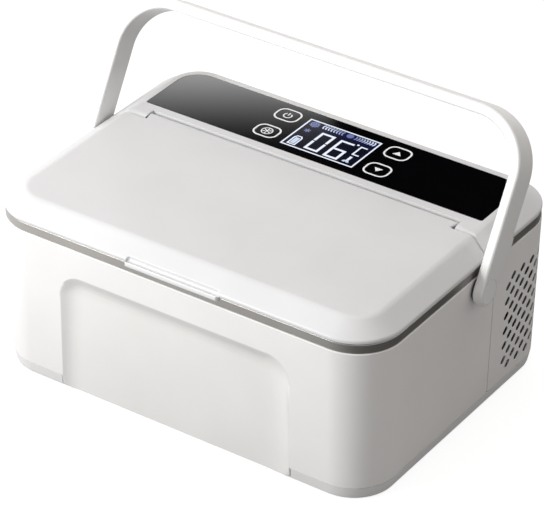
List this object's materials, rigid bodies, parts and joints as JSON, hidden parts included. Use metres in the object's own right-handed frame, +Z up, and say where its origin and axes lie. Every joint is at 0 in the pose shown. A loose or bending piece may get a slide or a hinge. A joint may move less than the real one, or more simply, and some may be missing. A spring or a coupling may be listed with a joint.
{
  "type": "insulin cooling case",
  "caption": "Portable thermoelectric cooling case with a hinged insulated lid, a glossy control panel with keys and a display, side vents and a swinging flat carrying handle.",
  "frame": {"origin": "on the floor under the middle of the case, at the middle of its length and depth", "axes": "+X along the length, to the right seen from the front; +Y towards the back; +Z up"},
  "size_m": [0.2542, 0.1852, 0.1658],
  "materials": {
    "case_white": "satin",
    "lid_white": "satin",
    "handle_white": "satin",
    "inner_white": "matte",
    "band_grey": "satin",
    "panel_black": "gloss",
    "key_face": "satin",
    "lcd": "gloss",
    "foam": "matte",
    "liner": "satin",
    "rubber": "matte",
    "steel": "satin",
    "heat_sink": "satin",
    "ceramic": "matte",
    "black_plastic": "satin",
    "circuit_board": "satin",
    "cell_wrap": "gloss"
  },
  "bodies": {
    "case": {"base_tray": "case_white", "foot_front_left": "rubber", "foot_front_right": "rubber", "foot_rear_right": "rubber", "foot_rear_left": "rubber", "base_screw_front_left": "steel", "base_screw_front_right": "steel", "base_screw_rear_right": "steel", "base_screw_rear_left": "steel", "front_tub": "case_white", "rear_housing": "case_white", "rim_band": "band_grey", "rear_band": "band_grey", "chamber_liner": "liner", "chamber_foam": "foam", "temperature_probe": "steel", "rim_collar": "inner_white", "rim_magnet": "steel", "hinge_pin_left": "steel", "hinge_pin_right": "steel", "console_cover": "lid_white", "control_panel": "panel_black", "lcd_module": "lcd", "key_switch_power": "black_plastic", "key_switch_mode": "black_plastic", "key_switch_up": "black_plastic", "key_switch_down": "black_plastic", "control_board": "circuit_board", "handle_washer_left": "black_plastic", "handle_washer_right": "black_plastic", "cold_block": "heat_sink", "peltier_module": "ceramic", "heat_sink": "heat_sink", "sink_screw_left": "steel", "sink_screw_right": "steel", "fan_frame": "black_plastic", "battery_holder": "black_plastic", "battery_cell_front": "cell_wrap", "battery_cell_rear": "cell_wrap", "power_board": "circuit_board", "dc_socket": "black_plastic", "port_cover": "rubber"},
    "lid": {"lid_shell": "lid_white", "lid_liner": "inner_white", "lid_foam": "foam", "lid_magnet": "steel", "lid_seal": "rubber"},
    "bail": {"handle": "handle_white", "handle_pin_left": "steel", "handle_pin_right": "steel"},
    "power_key": {"key_power": "key_face"},
    "mode_key": {"key_mode": "key_face"},
    "up_key": {"key_up": "key_face"},
    "down_key": {"key_down": "key_face"},
    "rotor": {"fan_rotor": "black_plastic"}
  },
  "joints": [
    {"name": "lid_hinge", "type": "hinge", "parent": "case", "child": "lid", "pos_m": [0, 0.0234, 0.1011], "axis": [-1, 0, 0], "range_deg": [0, 95]},
    {"name": "handle_pivot", "type": "hinge", "parent": "case", "child": "bail", "pos_m": [0, 0.008, 0.083], "axis": [-1, 0, 0], "range_deg": [-97.5, 61.5]},
    {"name": "power_key_slide", "type": "slide", "parent": "case", "child": "power_key", "axis": [0, 0, -1], "range_m": [0, 0.0005], "stiffness_N_per_m": 800, "springref_m": -0.0005},
    {"name": "mode_key_slide", "type": "slide", "parent": "case", "child": "mode_key", "axis": [0, 0, -1], "range_m": [0, 0.0005], "stiffness_N_per_m": 800, "springref_m": -0.0005},
    {"name": "up_key_slide", "type": "slide", "parent": "case", "child": "up_key", "axis": [0, 0, -1], "range_m": [0, 0.0005], "stiffness_N_per_m": 800, "springref_m": -0.0005},
    {"name": "down_key_slide", "type": "slide", "parent": "case", "child": "down_key", "axis": [0, 0, -1], "range_m": [0, 0.0005], "stiffness_N_per_m": 800, "springref_m": -0.0005},
    {"name": "fan_spin", "type": "hinge", "parent": "case", "child": "rotor", "pos_m": [0.065, 0.05552, 0.047], "axis": [1, 0, 0], "continuous": true}
  ]
}
